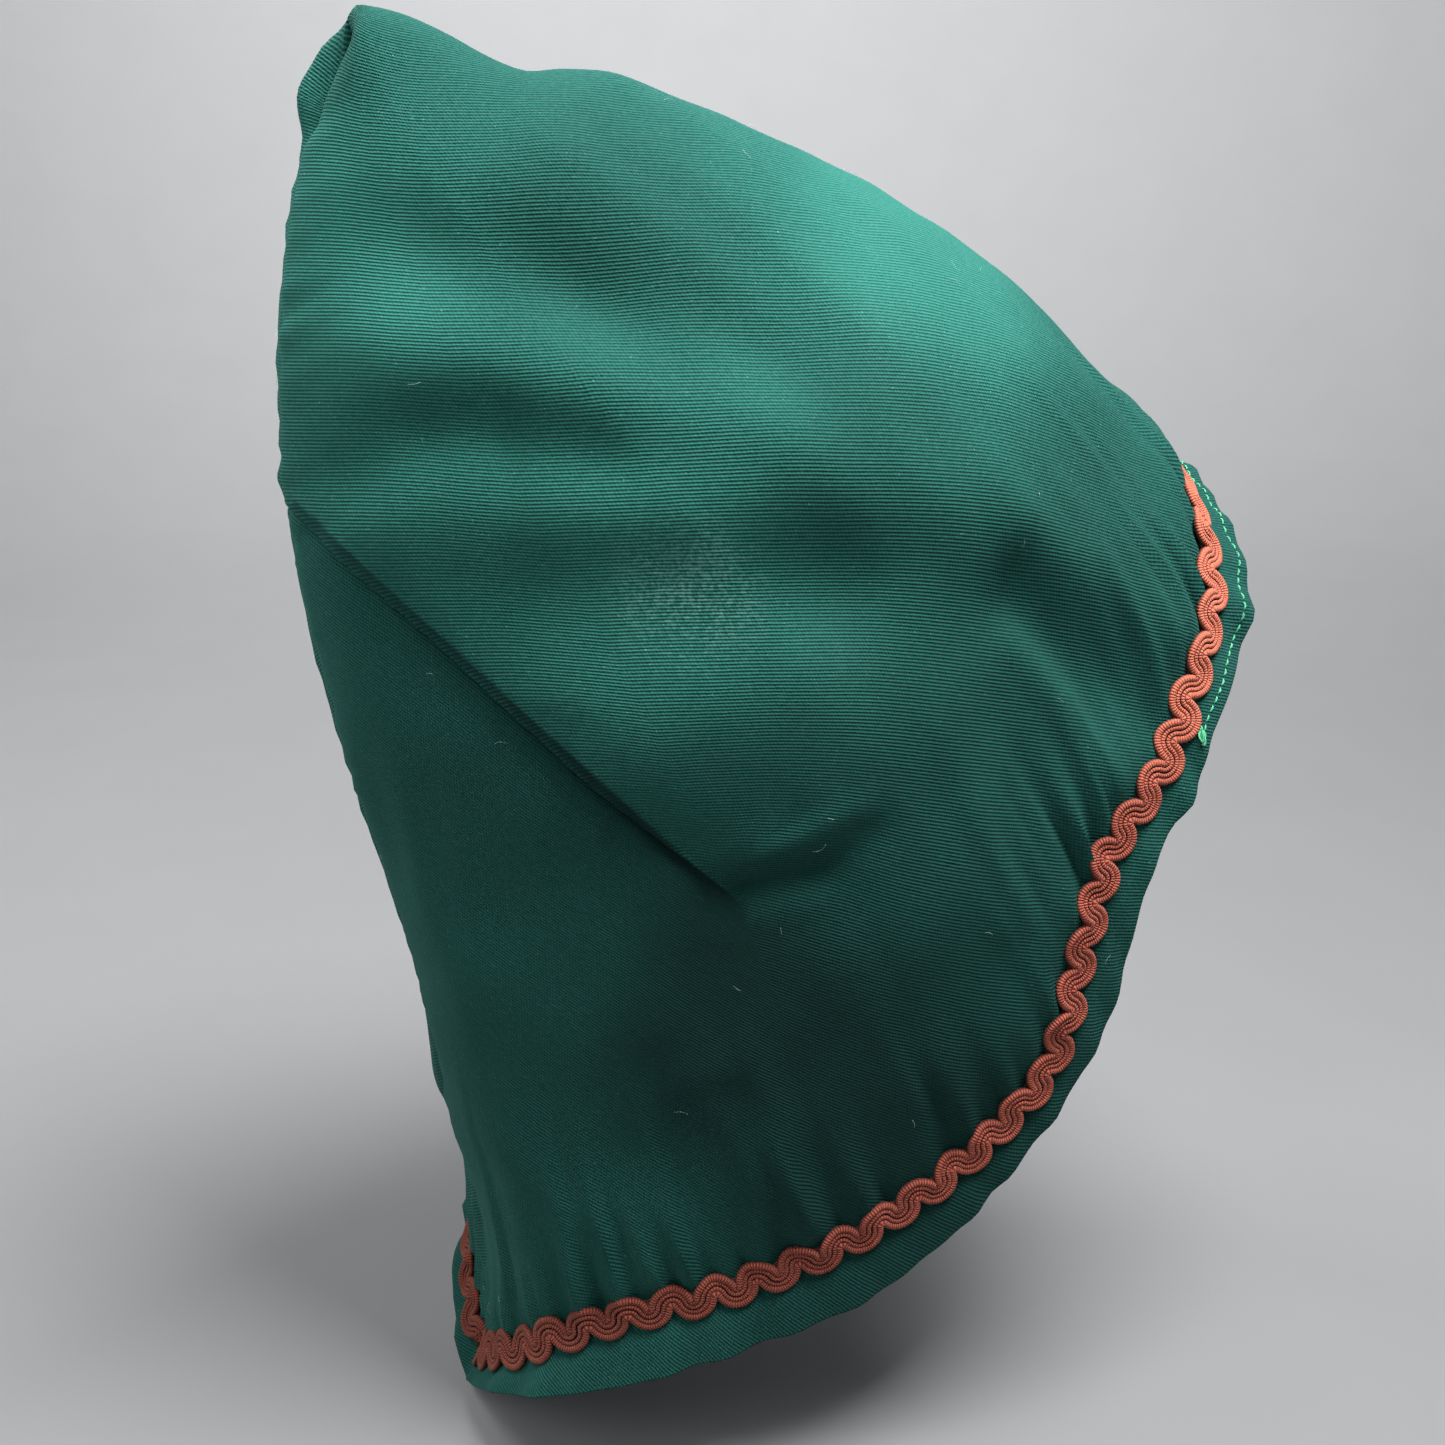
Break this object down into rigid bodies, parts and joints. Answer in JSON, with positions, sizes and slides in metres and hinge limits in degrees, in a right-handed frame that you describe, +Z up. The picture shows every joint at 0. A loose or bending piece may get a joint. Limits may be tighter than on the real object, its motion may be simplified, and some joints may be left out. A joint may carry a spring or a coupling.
{
  "type": "pointed hood",
  "caption": "Dark green cotton twill pointed hood in its worn form, with a terracotta scroll gimp braid round its face and neck edge.",
  "frame": {"origin": "seat on the head: the point on the centre plane, on the inner face of the crown, where the worn hood bears on the top of the head", "axes": "the wearer faces -Y, +X is the wearer's left and +Z is up, towards the peak"},
  "size_m": [0.1698, 0.2829, 0.4272],
  "materials": {
    "green_twill": "matt brushed cotton twill, dark bottle green",
    "terracotta_gimp": "matt wrapped cotton cord, terracotta"
  },
  "bodies": {
    "root": {"hood_cloth": "green_twill", "gimp_braid": "terracotta_gimp"}
  },
  "joints": []
}
